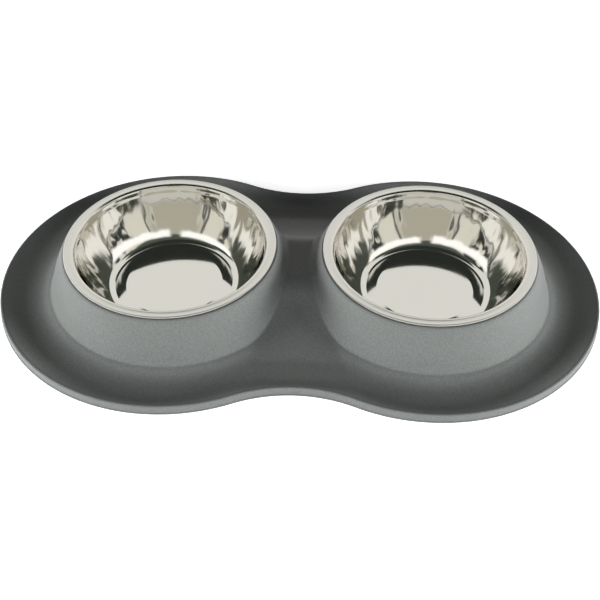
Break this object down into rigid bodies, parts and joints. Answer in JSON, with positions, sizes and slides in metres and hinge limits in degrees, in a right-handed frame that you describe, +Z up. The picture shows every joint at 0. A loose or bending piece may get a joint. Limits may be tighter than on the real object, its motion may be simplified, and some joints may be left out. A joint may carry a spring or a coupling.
{
  "type": "double pet bowl",
  "caption": "Low silicone feeding mat with two raised mounds joined by a saddle, each holding a lift-out stainless steel bowl by its rolled rim.",
  "frame": {"origin": "middle of the base, on the surface it stands on", "axes": "+X from the left bowl to the right bowl, +Y towards the back, +Z up"},
  "size_m": [0.406, 0.234, 0.0369],
  "materials": {
    "silicone": "matte",
    "steel": "polished stainless steel"
  },
  "bodies": {
    "base": {"silicone_base": "silicone"},
    "bowl_left": {"bowl_left": "steel"},
    "bowl_right": {"bowl_right": "steel"}
  },
  "joints": [
    {"name": "lift_left", "type": "slide", "parent": "base", "child": "bowl_left", "axis": [0, 0, 1], "range_m": [0, 0.05]},
    {"name": "lift_right", "type": "slide", "parent": "base", "child": "bowl_right", "axis": [0, 0, 1], "range_m": [0, 0.05]}
  ]
}
